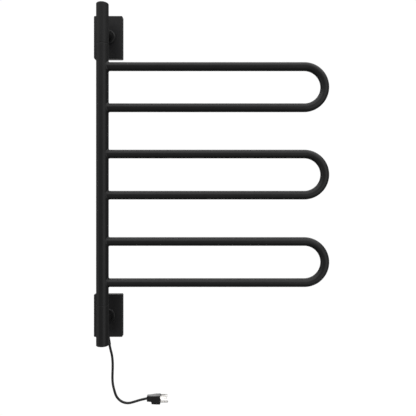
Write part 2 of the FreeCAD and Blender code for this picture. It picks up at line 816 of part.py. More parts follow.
for name, z in zip(BAR_NAMES, bar_z):
    pieces[name] = bar(z)
for name, z in zip(CABLE_NAMES, bar_z):
    pieces[name] = heating_cable(z)

os.makedirs("parts", exist_ok=True)
for name, shape in pieces.items():
    shape.exportStep("parts/" + name + ".step")
    state = "valid" if shape.isValid() else "NOT VALID"
    print(name, len(shape.Solids), "solids", round(shape.Volume), "mm3", state)
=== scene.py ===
"""The looks of a wall-hung towel warmer whose bars swing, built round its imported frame."""

import math

import bmesh
import bpy
from bpy.props import FloatProperty, FloatVectorProperty, IntProperty, PointerProperty
from bpy.types import Operator, Panel, PropertyGroup
from mathutils import Matrix, Vector


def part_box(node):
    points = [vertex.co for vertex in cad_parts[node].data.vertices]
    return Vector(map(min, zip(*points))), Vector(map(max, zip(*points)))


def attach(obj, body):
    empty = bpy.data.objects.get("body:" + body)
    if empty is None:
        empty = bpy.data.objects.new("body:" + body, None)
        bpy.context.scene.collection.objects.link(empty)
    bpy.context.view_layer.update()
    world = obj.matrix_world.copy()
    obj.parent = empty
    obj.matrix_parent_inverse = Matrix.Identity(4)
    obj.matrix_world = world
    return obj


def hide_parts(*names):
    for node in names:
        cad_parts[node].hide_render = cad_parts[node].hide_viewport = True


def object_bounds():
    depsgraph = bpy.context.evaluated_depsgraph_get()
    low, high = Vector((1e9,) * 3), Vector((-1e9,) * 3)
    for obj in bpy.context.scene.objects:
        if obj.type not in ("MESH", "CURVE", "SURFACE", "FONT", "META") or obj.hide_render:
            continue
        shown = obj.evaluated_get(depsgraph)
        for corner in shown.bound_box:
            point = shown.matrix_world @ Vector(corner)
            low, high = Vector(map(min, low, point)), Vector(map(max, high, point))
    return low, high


bl_info = {
    "name": "Swing-Arm Towel Warmer",
    "version": (1, 0, 0),
    "blender": (4, 5, 0),
    "location": "3D View > Sidebar > Towel Warmer",
    "description": "Builds the finished pieces, materials and stage of a swing-arm towel warmer",
    "category": "Object",
}

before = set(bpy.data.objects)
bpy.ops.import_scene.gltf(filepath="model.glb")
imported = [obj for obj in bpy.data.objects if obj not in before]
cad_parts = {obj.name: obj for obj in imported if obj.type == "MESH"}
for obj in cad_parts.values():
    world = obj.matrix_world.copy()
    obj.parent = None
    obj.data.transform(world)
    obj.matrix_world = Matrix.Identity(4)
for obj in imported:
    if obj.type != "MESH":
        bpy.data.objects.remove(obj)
frame_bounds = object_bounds()

# ---- Places that the frame gives ----
post_low, post_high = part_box("swivel_post")
POST_RADIUS = (post_high.y - post_low.y) / 2
POST_AXIS = Vector(((post_low.x + post_high.x) / 2, (post_low.y + post_high.y) / 2, 0))
BARS = ("lower_bar", "middle_bar", "upper_bar")
WELD_GAP = 0.00002  # between a piece and what it is welded to, or stands on
SLIP = 0.00005  # radial, one fixed piece inside another
SUPPORT = 0.0012  # from a rounded edge to the next loop, so that its wear stays near it
X_WAY, Y_WAY, Z_WAY = Vector((1, 0, 0)), Vector((0, 1, 0)), Vector((0, 0, 1))

# The cord's route from its exit, in metres, first point inside the cover.
CORD_ROUTE = (
    (-0.0011, 0.0001, 0.00425), (0.0030, -0.0002, -0.0123), (0.0061, -0.0006, -0.0290),
    (0.0107, -0.0010, -0.0454), (0.0125, -0.0014, -0.0623), (0.0126, -0.0018, -0.0793),
    (0.0119, -0.0022, -0.0964), (0.0124, -0.0026, -0.1135), (0.0161, -0.0030, -0.1299),
    (0.0217, -0.0034, -0.1470), (0.0338, -0.0038, -0.1589), (0.0503, -0.0042, -0.1630),
    (0.0673, -0.0046, -0.1582), (0.0833, -0.0050, -0.1529), (0.1000, -0.0054, -0.1495),
)


def on_post(height):
    """The point on the post's axis at a height."""
    return Vector((POST_AXIS.x, POST_AXIS.y, height))


def post_surface(side):
    """How far from the post's axis a piece meets its surface, at a distance to one side."""
    return math.sqrt(max(0.0, POST_RADIUS**2 - side**2)) + WELD_GAP


def size(name, default, text, least=0.0):
    """A length that a user may change."""
    return FloatProperty(name=name, description=text, default=default, min=least, unit="LENGTH", precision=5)


def colour(name, default, text):
    """A colour that a user may change."""
    return FloatVectorProperty(
        name=name, description=text, default=default, subtype="COLOR", size=4, min=0.0, max=1.0
    )


def share(name, default, text):
    """A number from 0 to 1 that a user may change."""
    return FloatProperty(name=name, description=text, default=default, min=0.0, max=1.0, subtype="FACTOR")


def amount(name, default, text):
    """A brightness, a power or another plain number that a user may change."""
    return FloatProperty(name=name, description=text, default=default, min=0.0)


def count(name, default, least, text):
    """A whole number that a user may change."""
    return IntProperty(name=name, description=text, default=default, min=least)


class PostSizes(PropertyGroup):
    """Sizes of the post, its caps and its screws."""

    wall: size("Wall", 0.002, "Thickness of the post's wall")
    eased_edge: size("Eased edge", 0.0005, "Radius that the coating leaves on the cut ends")
    sides: count("Sides", 96, 24, "Flat sides round the post")
    screw_hole: size("Screw hole", 0.00255, "Radius of the holes for the spindle screws")
    screw_mouth: size("Screw hole mouth", 0.0031, "Radius of those holes at the surface")
    cap_plate: size("Cap plate", 0.002, "Thickness of the end cap outside the post")
    cap_bevel: size("Cap bevel", 0.001, "Bevel round the end cap")
    cap_wall: size("Cap spigot wall", 0.002, "Wall of the end cap's spigot")


class BarSizes(PropertyGroup):
    """Sizes of the bars and of the welds."""

    wall: size("Wall", 0.0015, "Thickness of the bars' wall")
    sides: count("Sides", 64, 16, "Flat sides round a bar")
    bend_steps: count("Bend steps", 64, 16, "Steps along a bend")
    leg_steps: count("Leg steps", 16, 1, "Steps along a straight leg")
    weld_leg: size("Weld leg", 0.0016, "Leg of a weld bead on each of its tubes")
    weld_ripple: size("Weld ripple", 0.00012, "Height of the ripples on a weld bead")
    weld_pitch: size("Weld pitch", 0.0018, "Length of one ripple")


class BracketSizes(PropertyGroup):
    """Sizes of the brackets."""

    cover_wall: size("Cover wall", 0.0018, "Thickness of the covers")
    cover_corner: size("Cover corner", 0.003, "Radius of the covers' corners, seen from the front")
    cover_edge: size("Cover edge", 0.0016, "Radius round the covers' front faces")
    screw_hole: size("Screw hole", 0.0023, "Radius of the covers' screw holes")
    arm_radius: size("Arm radius", 0.0095, "Radius of the stand-off arms")
    arm_wall: size("Arm wall", 0.0025, "Thickness of the arms' wall")
    flange_plate: size("Arm flange", 0.0025, "Thickness of the flange behind the cover")
    collar_bevel: size("Collar bevel", 0.0022, "Bevel round a collar")
    collar_edge: size("Collar edge", 0.0004, "Radius that the coating leaves on a collar's edges")


class CordSizes(PropertyGroup):
    """Sizes of the cord, its strain relief and its plug."""

    diameter: size("Diameter", 0.0058, "Diameter of the cord")
    length: size("Length", 0.2385, "Real length of the cord")
    exit_x: size("Exit", -0.0026, "How far the cord's exit is from the middle", least=-0.1)
    relief_length: size("Relief length", 0.020, "Length of the strain relief below the cover")
    relief_root: size("Relief root", 0.0044, "Radius of the strain relief at the cover")
    relief_tip: size("Relief tip", 0.00375, "Radius of the strain relief at its tip")
    relief_flange: size("Relief flange", 0.0053, "Radius of the strain relief's flange")
    relief_groove: size("Relief groove", 0.0006, "Depth of the grooves that let the relief bend")
    relief_ribs: count("Relief ribs", 6, 1, "Ribs on the strain relief")
    plug_tail_width: size("Plug tail width", 0.011, "Width of the plug where the cord enters")
    plug_waist_width: size("Plug waist width", 0.0146, "Width of the plug at its step")
    plug_step: size("Plug step", 0.011, "From the tail's end to the step under the plug")
    plug_above_cord: size("Plug above cord", 0.0089, "From the cord's middle to the plug's top")
    plug_tail_below: size("Plug below cord", 0.0063, "From the cord's middle to the underside of the tail")
    plug_edge: size("Plug edge", 0.0012, "Radius of the plug's edges")
    grip_ribs: count("Grip ribs", 4, 1, "Grooves in the sides of the plug's tail")
    grip_depth: size("Grip depth", 0.0005, "Depth of the grooves in the plug's sides")


class Finishes(PropertyGroup):
    """Colours and gloss of the finishes."""

    coat: colour("Powder coat", (0.0105, 0.0105, 0.011, 1.0), "The powder coat")
    # Painted light: the covers' coat is a paler copy of the same powder coat, standing in for the light they
    # catch.
    coat_painted_paler: colour("Powder coat on flats", (0.020, 0.020, 0.021, 1.0), "The powder coat on the covers")
    coat_worn: colour("Rubbed coat", (0.030, 0.030, 0.031, 1.0), "The coat where hands and towels rub it")
    coat_roughness: share("Coat roughness", 0.34, "Roughness of the powder coat")
    coat_wear: share("Coat wear", 0.55, "How far the rubbed colour shows on worn edges")
    coat_dust: share("Coat dust", 0.12, "How much dust shows on what looks up")
    dust: colour("Dust", (0.16, 0.155, 0.15, 1.0), "Dust and lint")
    sheath: colour("Cord sheath", (0.018, 0.018, 0.0185, 1.0), "The cord, its strain relief and the plug")
    zinc: colour("Zinc plate", (0.52, 0.52, 0.50, 1.0), "The zinc-plated wall plates")
    steel: colour("Turned steel", (0.44, 0.44, 0.45, 1.0), "The spindles and bearing housings")
    screw: colour("Black screw", (0.03, 0.03, 0.032, 1.0), "The blackened screws")
    blade: colour("Plug blade", (0.82, 0.80, 0.77, 1.0), "The plated plug blades")
    brass: colour("Brass", (0.60, 0.42, 0.18, 1.0), "Terminal screws and crimps")
    plastic: colour("Natural plastic", (0.66, 0.64, 0.58, 1.0), "Bushes and the terminal block")
    washer: colour("Washer", (0.02, 0.02, 0.02, 1.0), "The thrust washers in the seams")
    wire_sleeve: colour("Wire sleeve", (0.30, 0.30, 0.31, 1.0), "The sleeves of the wires")
    cable_sleeve: colour("Cable sleeve", (0.35, 0.045, 0.03, 1.0), "The sleeves of the heating cables")


class StageSizes(PropertyGroup):
    """The camera, the lights and the floor."""

    camera_place: FloatVectorProperty(
        name="Camera", description="Where the camera stands", size=3, unit="LENGTH",
        default=(0.2432, -1.1086, 0.2621),
    )
    lens: amount("Lens", 38.94, "The camera's lens in millimetres")
    floor_height: size("Floor", -0.62, "Height of the floor", least=-10.0)
    floor_radius: size("Floor radius", 0.78, "Radius of the floor")
    dome_low: share("Room front", 0.25, "Brightness of the studio below the soft box, on the camera's side")
    dome_low_back: share("Room back", 0.12, "The same behind the object")
    dome_front: amount("Soft box front", 1.15, "Brightness of the soft box overhead, on the camera's side")
    dome_back: amount("Soft box back", 1.3, "The same behind the object")
    backdrop: amount("Backdrop", 1.02, "Brightness of the backdrop to the eye")
    right_light: amount("Right light", 6.4, "Power of the light on the right")
    left_light: amount("Left light", 2.8, "Power of the light on the left")
    back_light: amount("Back light", 2.6, "Power of the light behind")
    plug_light: amount("Plug light", 0.9, "Power of the light on the plug's top")
    prong_light: amount("Prong light", 0.55, "Power of the light on the prongs")


class RackSettings(PropertyGroup):
    """Everything that a user may change."""

    post: PointerProperty(type=PostSizes)
    bars: PointerProperty(type=BarSizes)
    brackets: PointerProperty(type=BracketSizes)
    cord: PointerProperty(type=CordSizes)
    finishes: PointerProperty(type=Finishes)
    stage: PointerProperty(type=StageSizes)


def settings():
    """The sizes and colours in use."""
    return bpy.context.scene.towel_rack


# ---- Shader groups ----
MIX_A, MIX_B, MIX_RESULT = 6, 7, 2  # the colour sockets of a Mix node


def feed(tree, node, inputs):
    """Links a node's inputs to sockets, or sets them to values."""
    for key, value in inputs.items():
        if isinstance(value, bpy.types.NodeSocket):
            tree.links.new(value, node.inputs[key])
        else:
            node.inputs[key].default_value = value


def new_node(tree, kind, inputs=None, **traits):
    """A node of one kind, with its traits set and its inputs fed."""
    node = tree.nodes.new(kind)
    for trait, value in traits.items():
        setattr(node, trait, value)
    feed(tree, node, inputs or {})
    return node


def new_group(name, inputs, outputs):
    """An empty shader group with its sockets, its inputs' values and its end node."""
    group = bpy.data.node_groups.new(name, "ShaderNodeTree")
    for label, kind, default in inputs:
        socket = group.interface.new_socket(label, in_out="INPUT", socket_type=kind)
        socket.default_value = default
    for label in outputs:
        group.interface.new_socket(label, in_out="OUTPUT", socket_type="NodeSocketFloat")
    return group, new_node(group, "NodeGroupInput").outputs, new_node(group, "NodeGroupOutput")


def noise(tree, scale, detail, roughness=0.5, place=None):
    """The value of a noise texture, on object coordinates unless it is given a place."""
    place = place or new_node(tree, "ShaderNodeTexCoord").outputs["Object"]
    inputs = {"Vector": place, "Scale": scale, "Detail": detail, "Roughness": roughness}
    return new_node(tree, "ShaderNodeTexNoise", inputs).outputs["Fac"]


def spread(tree, source, low, high, to_low=0.0, to_high=1.0):
    """Maps a value from one range to another, clamped."""
    inputs = {"Value": source, "From Min": low, "From Max": high, "To Min": to_low, "To Max": to_high}
    return new_node(tree, "ShaderNodeMapRange", inputs).outputs["Result"]


def maths(tree, kind, first, second):
    """A Math node between two sockets, or a socket and a number."""
    return new_node(tree, "ShaderNodeMath", {0: first, 1: second}, operation=kind).outputs[0]


def blended(tree, factor, first, second):
    """A mix of two colours, each a socket or a colour."""
    inputs = {"Factor": factor, MIX_A: first, MIX_B: second}
    return new_node(tree, "ShaderNodeMix", inputs, data_type="RGBA").outputs[MIX_RESULT]


def orange_peel_group(name):
    """The skin of a cured powder coat: soft dimples with fine grain, and cloudy patches."""
    group, _, end = new_group(name, [], ["Height", "Cloud"])
    dimples = maths(group, "MULTIPLY", noise(group, 720.0, 1.0), 0.75)
    grain = maths(group, "MULTIPLY", noise(group, 3600.0, 2.0, 0.6), 0.25)
    cloud = spread(group, noise(group, 26.0, 3.0, 0.55), 0.3, 0.7)
    feed(group, end, {"Height": maths(group, "ADD", dimples, grain), "Cloud": cloud})
    return group


def edge_wear_group(name):
    """Where rounded edges are rubbed, broken up so that the rubbing isn't even."""
    group, start, end = new_group(name, [("Amount", "NodeSocketFloat", 0.5)], ["Mask"])
    edges = new_node(group, "ShaderNodeAttribute", attribute_name="worn").outputs["Fac"]
    patches = spread(group, noise(group, 160.0, 4.0, 0.65), 0.38, 0.62)
    mask = maths(group, "MULTIPLY", edges, patches)
    feed(group, end, {"Mask": maths(group, "MULTIPLY", mask, start["Amount"])})
    return group


def dust_group(name):
    """A trace of dust and lint on faces that look up."""
    group, start, end = new_group(name, [("Amount", "NodeSocketFloat", 0.3)], ["Mask"])
    normal = new_node(group, "ShaderNodeNewGeometry").outputs["Normal"]
    parts = new_node(group, "ShaderNodeSeparateXYZ", {"Vector": normal})
    up = spread(group, parts.outputs["Z"], 0.55, 1.0)
    specks = spread(group, noise(group, 420.0, 5.0, 0.7), 0.48, 0.75)
    mask = maths(group, "MULTIPLY", up, specks)
    feed(group, end, {"Mask": maths(group, "MULTIPLY", mask, start["Amount"])})
    return group


def brushed_group(name):
    """The fine lines of turning, rolling or plating."""
    inputs = [("Stretch", "NodeSocketVector", (1.0, 1.0, 1.0))]
    group, start, end = new_group(name, inputs, ["Height", "Cloud"])
    place = new_node(group, "ShaderNodeTexCoord").outputs["Object"]
    stretched = new_node(group, "ShaderNodeMapping", {"Vector": place, "Scale": start["Stretch"]})
    lines = noise(group, 900.0, 4.0, place=stretched.outputs["Vector"])
    cloud = spread(group, noise(group, 90.0, 3.0), 0.3, 0.7)
    feed(group, end, {"Height": lines, "Cloud": cloud})
    return group


GROUPS = {
    "Orange Peel": orange_peel_group, "Edge Wear": edge_wear_group,
    "Dust": dust_group, "Brushed": brushed_group,
}


def placed(tree, name, **inputs):
    """The outputs of a shader group, which is built the first time that it is asked for."""
    group = bpy.data.node_groups.get(name) or GROUPS[name](name)
    return new_node(tree, "ShaderNodeGroup", inputs, node_tree=group).outputs


# ---- Materials ----
def new_material(name, metallic=0.0, ior=1.5):
    """A material with only its Principled shader, its node tree, and that shader."""
    material = bpy.data.materials.new(name)
    material.use_nodes = True
    shader = material.node_tree.nodes["Principled BSDF"]
    shader.inputs["Metallic"].default_value = metallic
    shader.inputs["IOR"].default_value = ior
    return material, material.node_tree, shader


def finished(tree, shader, tone, rough, height, depth):
    """Feeds the shader its colour and its roughness, and a height as bumps of a depth."""
    bump = new_node(tree, "ShaderNodeBump", {"Height": height, "Distance": depth, "Strength": 1.0})
    feed(tree, shader, {"Base Color": tone, "Roughness": rough, "Normal": bump.outputs["Normal"]})


def shade(tint, times, plus=0.0):
    """A darker or paler copy of a colour."""
    return tuple(min(1.0, times * c + plus) for c in tint[:3]) + (1.0,)


def powder_coat(flat=False):
    """Satin black powder coat, a little rubbed at its edges. On the covers its base colour is paler: painted
    light, standing in for the brighter light that falls on them.
    """
    name = "powder_coat_on_flat" if flat else "powder_coat_on_tube"
    found = bpy.data.materials.get(name)
    if found:
        return found
    looks = settings().finishes
    material, tree, shader = new_material(name)
    skin = placed(tree, "Orange Peel")
    worn = placed(tree, "Edge Wear", Amount=looks.coat_wear)["Mask"]
    dusty = placed(tree, "Dust", Amount=looks.coat_dust)["Mask"]
    # The covers take the paler copy of the coat: painted light, not a different finish.
    base = looks.coat_painted_paler if flat else looks.coat
    tone = blended(tree, skin["Cloud"], shade(base, 0.82), tuple(base))
    tone = blended(tree, worn, tone, tuple(looks.coat_worn))
    tone = blended(tree, dusty, tone, tuple(looks.dust))
    middle = looks.coat_roughness
    rough = spread(tree, skin["Cloud"], 0.0, 1.0, middle - 0.03, middle + 0.04)
    rough = maths(tree, "SUBTRACT", rough, maths(tree, "MULTIPLY", worn, 0.10))
    rough = maths(tree, "ADD", rough, maths(tree, "MULTIPLY", dusty, 0.5))
    finished(tree, shader, tone, rough, skin["Height"], 0.00004)
    return material


def moulded_plastic(name, base, roughness, grain=0.00001, worn=0.0):
    """Moulded or extruded plastic with a faint skin, cloudy gloss, and rubbed edges."""
    material, tree, shader = new_material(name, ior=1.52)
    skin = placed(tree, "Orange Peel")
    rubbed = placed(tree, "Edge Wear", Amount=worn)["Mask"]
    tone = blended(tree, skin["Cloud"], shade(base, 0.8), tuple(base))
    tone = blended(tree, rubbed, tone, shade(base, 1.6, 0.01))
    rough = spread(tree, skin["Cloud"], 0.0, 1.0, roughness - 0.05, roughness + 0.05)
    finished(tree, shader, tone, rough, skin["Height"], grain)
    return material


def metal(name, base, roughness, stretch=(1.0, 1.0, 1.0), grain=0.000004):
    """Bare or plated metal with fine lines along one direction and a cloudy gloss."""
    material, tree, shader = new_material(name, metallic=1.0)
    lines = placed(tree, "Brushed", Stretch=stretch)
    tone = blended(tree, lines["Cloud"], shade(base, 0.78), tuple(base))
    rough = spread(tree, lines["Height"], 0.2, 0.8, roughness - 0.08, roughness + 0.10)
    finished(tree, shader, tone, rough, lines["Height"], grain)
    return material


# ---- Mesh helpers ----
SAME = 1e-6  # closer than this is the same place
LEAST_BEND, MOST_BEND = 0.02, 0.9  # radians between two faces of one rounding
WEAR_STARTS, WEAR_GROWS = 330.0, 500.0  # radians of bend per metre of face


def parts_of(result, kind):
    """The vertices, edges or faces in what a bmesh operator returned."""
    return [item for item in result if isinstance(item, kind)]


def turned(corners, centre, axis, steps, closed=True):
    """Turns an outline about an axis. A corner is (radius, height along the axis, rounding).

    Long edges get a support loop near each end.
    """
    bm = bmesh.new()
    along = Vector(axis)
    across = Z_WAY if abs(along.z) < 0.5 else X_WAY
    verts = [bm.verts.new(centre + across * r + along * h) for r, h, _ in corners]
    for a, b in zip(verts, verts[1:] + verts[:1] if closed else verts[1:]):
        bm.edges.new((a, b))
    for vert, (_, _, rounding) in zip(verts, corners):
        if rounding > 0:
            bmesh.ops.bevel(
                bm, geom=[vert], offset=rounding, offset_type="OFFSET", segments=4,
                profile=0.5, affect="VERTICES", material=-1,
            )
    for edge in [e for e in bm.edges if e.calc_length() > 4 * SUPPORT]:
        first, last = edge.verts
        apart = SUPPORT / edge.calc_length()
        rest, _ = bmesh.utils.edge_split(edge, first, apart)
        middle = edge if last in edge.verts else rest
        bmesh.utils.edge_split(middle, last, apart / (1 - apart))
    bmesh.ops.spin(
        bm, geom=bm.verts[:] + bm.edges[:], cent=centre, axis=along, angle=2 * math.pi,
        steps=steps, use_merge=True, use_duplicate=False,
    )
    bmesh.ops.remove_doubles(bm, verts=bm.verts, dist=1e-7)
    return bm


def ring(bm, radius, sides, at, towards):
    """A ring of edges round a point, square to a direction."""
    turn = Vector(towards).to_track_quat("Z", "Y").to_matrix().to_4x4()
    made = bmesh.ops.create_circle(
        bm, cap_ends=False, segments=sides, radius=radius, matrix=Matrix.Translation(at) @ turn
    )
    return list({edge for vert in made["verts"] for edge in vert.link_edges})


def pulled(bm, edges, by):
    """Extrudes a ring of edges, and returns the new ring."""
    made = bmesh.ops.extrude_edge_only(bm, edges=edges)["geom"]
    bmesh.ops.translate(bm, verts=parts_of(made, bmesh.types.BMVert), vec=by)
    return [edge for edge in parts_of(made, bmesh.types.BMEdge) if edge.is_boundary]


def ring_verts(edges):
    """The vertices of a ring of edges."""
    return list({vert for edge in edges for vert in edge.verts})


def mark_worn_edges(bm):
    """Writes how sharply each vertex's surface rounds outwards, for the edge wear."""
    layer = bm.verts.layers.float.new("worn")
    for edge in bm.edges:
        if len(edge.link_faces) == 2:
            bend = edge.calc_face_angle_signed(0.0)
            width = min(face.calc_area() for face in edge.link_faces) / max(edge.calc_length(), 1e-9)
            if LEAST_BEND < bend < MOST_BEND:
                mask = (bend / max(width, SAME) - WEAR_STARTS) / WEAR_GROWS
                for vert in edge.verts:
                    vert[layer] = max(vert[layer], min(1.0, max(0.0, mask)))


def in_scene(name, data):
    """A new object in the scene for a mesh, a curve, a light or a camera."""
    made = bpy.data.objects.new(name, data)
    bpy.context.scene.collection.objects.link(made)
    return made


def mesh_object(bm, name):
    """A new object in the scene that holds a bmesh, which is freed."""
    mesh = bpy.data.meshes.new(name)
    bm.to_mesh(mesh)
    bm.free()
    return in_scene(name, mesh)


def bridged(bm, rings):
    """Joins each ring of edges to the next."""
    for near, far in zip(rings, rings[1:]):
        bmesh.ops.bridge_loops(bm, edges=near + far)


def made_piece(bm, name, body, finish, slot, node, cutter=None, wall=0.0, sharp=32.0):
    """Turns a bmesh into a finished piece that rides on a body and stands for a CAD node."""
    bmesh.ops.recalc_face_normals(bm, faces=bm.faces)
    if not wall and bm.calc_volume(signed=True) < 0:
        bmesh.ops.reverse_faces(bm, faces=bm.faces)
    piece = mesh_object(bm, name)
    if wall:
        shell = piece.modifiers.new("Wall", "SOLIDIFY")
        shell.thickness = wall
        shell.offset = -1.0
        shell.use_even_offset = True
    if cutter:
        bmesh.ops.recalc_face_normals(cutter, faces=cutter.faces)
        tool = mesh_object(cutter, name + "_tool")
        cut = piece.modifiers.new("Holes", "BOOLEAN")
        cut.operation = "DIFFERENCE"
        cut.solver = "EXACT"
        cut.object = tool
    bm = bmesh.new()
    bm.from_object(piece, bpy.context.evaluated_depsgraph_get())
    piece.modifiers.clear()
    if cutter:
        bpy.data.meshes.remove(tool.data)  # its object goes with it
    bmesh.ops.remove_doubles(bm, verts=bm.verts, dist=2e-7)
    for face in bm.faces:
        face.smooth = True
    for edge in bm.edges:
        edge.smooth = edge.calc_face_angle(0.0) < math.radians(sharp)
    mark_worn_edges(bm)
    bm.to_mesh(piece.data)
    bm.free()
    piece.data.materials.clear()
    piece.data.materials.append(finish)
    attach(piece, body)
    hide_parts(node)
    return piece


def coated(bm, name, body, node, flat=False, **how):
    """A finished piece in powder coat."""
    return made_piece(bm, name, body, powder_coat(flat), "powder_coat", node, **how)


# ---- Stage ----
WHITE = (1.0, 1.0, 1.0, 1.0)
FRONT_EDGE = (22.0, 38.0)  # degrees above level between which the soft box fades in, on the camera's side
BACK_EDGE = (27.0, 48.0)  # the same behind the object
# name, place, width and height of each large soft light, and the setting that holds its power
SOFT_BOXES = (
    ("right_soft_box", (1.62, -1.74, 0.20), 1.8, 2.7, "right_light"),
    ("left_soft_box", (-2.1, -0.55, 0.30), 1.0, 2.4, "left_light"),
    ("back_soft_box", (-0.55, 2.2, 0.45), 0.9, 2.0, "back_light"),
)


def for_the_eye(tree, seen, unseen):
    """One shader for the camera's view, and another for all that lights the object."""
    eye = new_node(tree, "ShaderNodeLightPath").outputs["Is Camera Ray"]
    return new_node(tree, "ShaderNodeMixShader", {"Fac": eye, 1: unseen, 2: seen}).outputs["Shader"]


def studio_world(stage):
    """White to the eye. To the object, a soft box overhead over a dim room."""
    world = bpy.data.worlds.new("studio")
    world.use_nodes = True
    tree = world.node_tree
    tree.nodes.clear()
    way = new_node(tree, "ShaderNodeTexCoord").outputs["Generated"]
    parts = new_node(tree, "ShaderNodeSeparateXYZ", {"Vector": way}).outputs
    behind = spread(tree, parts["Y"], -0.3, 0.4)
    low = spread(tree, behind, 0.0, 1.0, stage.dome_low, stage.dome_low_back)
    high = spread(tree, behind, 0.0, 1.0, stage.dome_front, stage.dome_back)
    front_edge, back_edge = (
        spread(tree, parts["Z"], math.sin(math.radians(first)), math.sin(math.radians(last)))
        for first, last in (FRONT_EDGE, BACK_EDGE)
    )
    later = maths(tree, "MULTIPLY", maths(tree, "SUBTRACT", back_edge, front_edge), behind)
    box_edge = maths(tree, "ADD", front_edge, later)
    glow = maths(tree, "MULTIPLY", maths(tree, "SUBTRACT", high, low), box_edge)
    glow = maths(tree, "ADD", glow, low)
    room = new_node(tree, "ShaderNodeBackground", {"Color": WHITE, "Strength": glow}).outputs[0]
    paper = new_node(tree, "ShaderNodeBackground", {"Color": WHITE, "Strength": stage.backdrop}).outputs[0]
    new_node(tree, "ShaderNodeOutputWorld", {"Surface": for_the_eye(tree, paper, room)})
    return world


def soft_box(name, place, aim, width, height, power):
    """A rectangular soft light that points at a place."""
    light = bpy.data.lights.new(name, "AREA")
    light.shape = "RECTANGLE"
    light.size = width
    light.size_y = height
    light.energy = power
    holder = in_scene(name, light)
    holder.location = place
    holder.rotation_euler = (Vector(aim) - Vector(place)).to_track_quat("-Z", "Y").to_euler()
    holder.visible_camera = False
    return holder


def floor_material(stage):
    """Pale paper that fades out at its rim. The object sees it dim, so that it lights nothing from below."""
    material = bpy.data.materials.new("floor_paper")
    material.use_nodes = True
    tree = material.node_tree
    tree.nodes.clear()
    place = new_node(tree, "ShaderNodeTexCoord").outputs["Object"]
    from_middle = new_node(tree, "ShaderNodeVectorMath", {0: place}, operation="LENGTH").outputs["Value"]
    fade = spread(tree, from_middle, 0.55 * stage.floor_radius, 0.98 * stage.floor_radius)
    fibres = noise(tree, 300.0, 3.0)
    tone = blended(tree, fibres, (0.84, 0.84, 0.84, 1.0), (0.90, 0.90, 0.89, 1.0))
    paper = new_node(tree, "ShaderNodeBsdfDiffuse", {"Color": tone}).outputs["BSDF"]
    dim = new_node(tree, "ShaderNodeBsdfDiffuse", {"Color": (0.12, 0.12, 0.12, 1.0)}).outputs["BSDF"]
    clear = new_node(tree, "ShaderNodeBsdfTransparent").outputs["BSDF"]
    faded = new_node(tree, "ShaderNodeMixShader", {"Fac": fade, 1: for_the_eye(tree, paper, dim), 2: clear})
    new_node(tree, "ShaderNodeOutputMaterial", {"Surface": faded.outputs["Shader"]})
    return material


class RACK_OT_stage(Operator):
    """Makes the camera, the lights and the floor"""

    bl_idname = "rack.make_stage"
    bl_label = "Stage"

    def execute(self, context):
        stage = settings().stage
        scene = context.scene
        lens = bpy.data.cameras.new("camera")
        lens.lens = stage.lens
        lens.sensor_width = 36.0
        camera = in_scene("camera", lens)
        camera.location = stage.camera_place
        camera.rotation_euler = (math.radians(90), 0, 0)
        scene.camera = camera
        scene.view_settings.view_transform = "Standard"
        scene.world = studio_world(stage)
        middle = (frame_bounds[0] + frame_bounds[1]) / 2
        for name, place, width, height, power in SOFT_BOXES:
            soft_box(name, place, middle, width, height, getattr(stage, power))
        bm = bmesh.new()
        bmesh.ops.create_circle(bm, cap_ends=True, segments=96, radius=stage.floor_radius)
        ground = mesh_object(bm, "floor")
        ground.data.materials.append(floor_material(stage))
        ground.location = (middle.x, POST_AXIS.y, stage.floor_height)
        return {"FINISHED"}


# ---- Cord and plug ----
RELIEF_GAP = 0.00004  # between the cover's underside and the strain relief
FLANGE_PLATE = 0.0011
FLANGE_EDGE = 0.0003
FIRST_RIB = 0.0016  # from the cover's underside
CORD_GRIP = 0.0001  # radial, between the cord and the strain relief
NECK_MARGIN = 0.0011  # from the strain relief's neck to the cover's walls
# a rib and its groove: (share of the pitch, share of the groove's depth)
RIB = ((0.0, 1.0), (0.18, 1.0), (0.30, 0.2), (0.38, 0.0), (0.88, 0.0), (1.0, 0.25))
# a groove in the plug's side: (share of the pitch, share of its depth)
GRIP = ((0.25, 0.0), (0.45, 1.0), (0.65, 1.0), (0.85, 0.0))
FLARE = 0.0001  # by which the plug widens at each station past its step
CHEEK = 0.010  # from the plug's step to its cheeks


def cord_exit():
    """Where the cord leaves the lower cover: the middle of its depth inside, at its lower face."""
    low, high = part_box("lower_bracket_cover")
    inner_front = low.y + settings().brackets.cover_wall
    return Vector((settings().cord.exit_x, (inner_front + high.y) / 2, low.z))


def route_curve(name, depth):
    """The cord's line as one NURBS spline, with or without its thickness."""
    curve = bpy.data.curves.new(name, "CURVE")
    curve.dimensions = "3D"
    curve.resolution_u = 24
    curve.bevel_depth = depth
    curve.bevel_resolution = 10
    curve.use_fill_caps = True
    spline = curve.splines.new("NURBS")
    spline.points.add(len(CORD_ROUTE) - 1)
    start = cord_exit()
    for point, offset in zip(spline.points, CORD_ROUTE):
        point.co = (*(start + Vector(offset)), 1.0)
    spline.order_u = 3
    spline.use_endpoint_u = True
    return curve


def route_points():
    """Points along the cord's line, read from its spline."""
    holder = in_scene("route", route_curve("route", 0.0))
    graph = bpy.context.evaluated_depsgraph_get()
    mesh = bpy.data.meshes.new_from_object(holder.evaluated_get(graph))
    points = [vert.co.copy() for vert in mesh.vertices]
    bpy.data.curves.remove(holder.data)  # its object goes with it
    bpy.data.meshes.remove(mesh)
    return points


def along_route(points, distance):
    """The place and direction at a distance along the points."""
    for a, b in zip(points, points[1:]):
        step = (b - a).length
        if distance <= step:
            return a.lerp(b, distance / step), (b - a).normalized()
        distance -= step
    return points[-1], (points[-1] - points[-2]).normalized()


